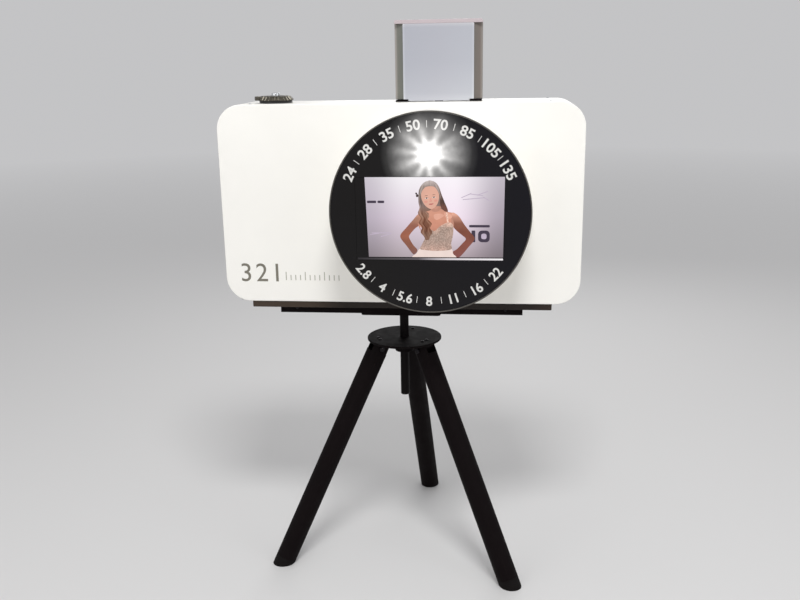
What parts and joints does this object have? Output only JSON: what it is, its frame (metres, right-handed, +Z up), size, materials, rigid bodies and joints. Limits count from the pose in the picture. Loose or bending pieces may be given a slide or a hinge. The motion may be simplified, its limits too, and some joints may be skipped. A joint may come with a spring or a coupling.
{
  "type": "photo booth",
  "caption": "Camera-shaped photo booth: white case with a round lens disc holding a lit display, pop-up light head and shutter, on a black folding tripod.",
  "frame": {"origin": "centre of the bounding box's base, on the floor between the feet", "axes": "+Z up; the display faces -Y; +X is to the right for someone facing the display"},
  "size_m": [1.23, 0.8476, 1.928],
  "materials": {
    "white_shell": "white satin moulded plastic",
    "black_disc": "black high-gloss acrylic",
    "black_paint": "black powder coat",
    "black_plastic": "black moulded plastic",
    "dark_board": "black laminated board",
    "steel": "brushed",
    "zinc": "zinc plated",
    "aluminium": "satin grey anodised",
    "chrome": "polished",
    "diffuser": "frosted light diffuser",
    "screen": "lit display glass",
    "rubber": "matt",
    "circuit": "circuit board"
  },
  "bodies": {
    "tripod_head": {"head_plate": "black_paint", "head_collar": "black_paint", "hinge_bracket_1": "black_paint", "hinge_pin_1": "zinc", "hinge_bracket_2": "black_paint", "hinge_pin_2": "zinc", "hinge_bracket_3": "black_paint", "hinge_pin_3": "zinc"},
    "rear_leg": {"leg_1": "black_paint", "foot_pad_1": "rubber"},
    "left_leg": {"leg_2": "black_paint", "foot_pad_2": "rubber"},
    "right_leg": {"leg_3": "black_paint", "foot_pad_3": "rubber"},
    "clamp": {"clamp_knob": "black_plastic"},
    "mast": {"column": "black_paint", "column_cap": "black_plastic"},
    "door": {"service_door": "white_shell", "door_hinge_moving": "steel"},
    "latch": {"latch_handle": "black_plastic", "latch_cam": "steel"},
    "fan": {"fan_rotor": "black_plastic"},
    "power_switch": {"rocker_switch": "black_plastic"},
    "zoom_control": {"zoom_ring": "steel"},
    "shutter": {"shutter_button": "chrome"},
    "light_head": {"flash_housing": "aluminium", "flash_diffuser": "diffuser", "flash_led_board": "circuit", "flash_cap": "diffuser"},
    "booth": {"front_panel": "white_shell", "left_shell": "white_shell", "right_shell": "white_shell", "top_cover": "white_shell", "bottom_cover": "white_shell", "inner_frame": "aluminium", "rear_frame": "white_shell", "door_hinge_fixed": "steel", "door_hinge_pin": "steel", "fan_housing": "black_plastic", "fan_guard": "steel", "power_inlet": "black_plastic", "mini_pc": "black_plastic", "power_supply": "aluminium", "lens_barrel": "white_shell", "lens_disc": "black_disc", "screen_glass": "screen", "display_panel": "black_plastic", "equipment_plate": "aluminium", "flash_lamp": "chrome", "camera_lens": "black_disc", "camera_body": "black_plastic", "shutter_base": "black_plastic", "flash_bracket_left": "black_paint", "flash_bracket_right": "black_paint", "flash_hinge_pin": "steel", "base_board": "dark_board", "mount_channel": "black_paint", "adapter_plate": "black_paint", "pan_socket": "steel"}
  },
  "joints": [
    {"name": "rear_leg_fold", "type": "hinge", "parent": "tripod_head", "child": "rear_leg", "pos_m": [0.01014, -0.00357, 0.8], "axis": [-0.9945, 0.1045, 0], "range_deg": [0, 25]},
    {"name": "left_leg_fold", "type": "hinge", "parent": "tripod_head", "child": "left_leg", "pos_m": [-0.08861, -0.1395, 0.8], "axis": [0.4067, -0.9135, 0], "range_deg": [0, 25]},
    {"name": "right_leg_fold", "type": "hinge", "parent": "tripod_head", "child": "right_leg", "pos_m": [0.07848, -0.15706, 0.8], "axis": [0.5878, 0.809, 0], "range_deg": [0, 25]},
    {"name": "clamp_turn", "type": "hinge", "parent": "tripod_head", "child": "clamp", "pos_m": [-0.04854, -0.06477, 0.793], "axis": [-0.809, 0.5878, 0], "range_deg": [0, 360]},
    {"name": "mast_slide", "type": "slide", "parent": "tripod_head", "child": "mast", "axis": [0, 0, 1], "range_m": [-0.075, 0.15]},
    {"name": "booth_pan", "type": "hinge", "parent": "mast", "child": "booth", "pos_m": [0, -0.10004, 0.95], "axis": [0, 0, 1], "range_deg": [-175, 175]},
    {"name": "door_swing", "type": "hinge", "parent": "booth", "child": "door", "pos_m": [-0.524, 0.02596, 1.326], "axis": [0, 0, 1], "range_deg": [0, 110]},
    {"name": "latch_turn", "type": "hinge", "parent": "door", "child": "latch", "pos_m": [0.02, 0.02396, 1.326], "axis": [0, 1, 0], "range_deg": [0, 90]},
    {"name": "fan_spin", "type": "hinge", "parent": "booth", "child": "fan", "pos_m": [0.33, -0.00004, 1.5], "axis": [0, 1, 0], "continuous": true},
    {"name": "power_rock", "type": "hinge", "parent": "booth", "child": "power_switch", "pos_m": [0.44, 0.01796, 1.102], "axis": [1, 0, 0], "range_deg": [0, 16]},
    {"name": "zoom_turn", "type": "hinge", "parent": "booth", "child": "zoom_control", "pos_m": [-0.428, -0.12504, 1.68], "axis": [0, 0, 1], "range_deg": [-20, 20], "stiffness_Nm_per_rad": 0.4},
    {"name": "shutter_press", "type": "slide", "parent": "booth", "child": "shutter", "axis": [0, 0, -1], "range_m": [0, 0.003], "stiffness_N_per_m": 600},
    {"name": "light_head_tilt", "type": "hinge", "parent": "booth", "child": "light_head", "pos_m": [0.133, -0.08604, 1.684], "axis": [1, 0, 0], "range_deg": [-90, 0]}
  ]
}
